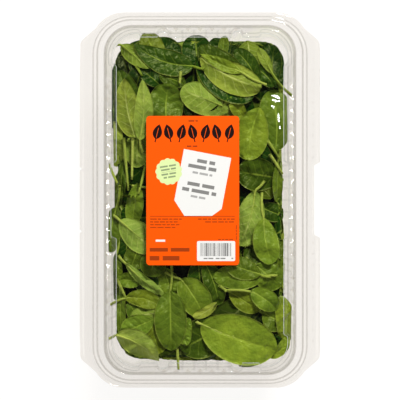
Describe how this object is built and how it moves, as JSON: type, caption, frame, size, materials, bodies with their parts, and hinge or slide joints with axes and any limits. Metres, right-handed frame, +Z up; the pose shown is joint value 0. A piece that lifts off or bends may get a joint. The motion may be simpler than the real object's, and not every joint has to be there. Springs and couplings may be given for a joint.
{
  "type": "clear hinged box of baby spinach leaves",
  "caption": "Clear plastic produce box filled with loose green leaves: a fluted tray, a press-on lid that turns on a fold along its long side, and a paper label on the lid.",
  "frame": {"origin": "middle of the underside, on the surface that the box stands on", "axes": "+Z up, +Y along the box's length, towards the top edge of the label, +X towards the side with the fold that the lid turns on"},
  "size_m": [0.2, 0.312, 0.09],
  "materials": {
    "clear_tray": "clear, smooth and glossy thermoformed sheet",
    "clear_lid": "clear, smooth and glossy thermoformed sheet",
    "label_paper": "smooth printed label, satin",
    "leaf": "leaf surface, satin above and matt below"
  },
  "bodies": {
    "base": {"tray": "clear_tray", "spinach": "leaf"},
    "cover": {"lid": "clear_lid", "label": "label_paper"}
  },
  "joints": [
    {"name": "lid_hinge", "type": "hinge", "parent": "base", "child": "cover", "pos_m": [0.10015, 0, 0.0822], "axis": [0, 1, 0], "range_deg": [0, 180]}
  ]
}
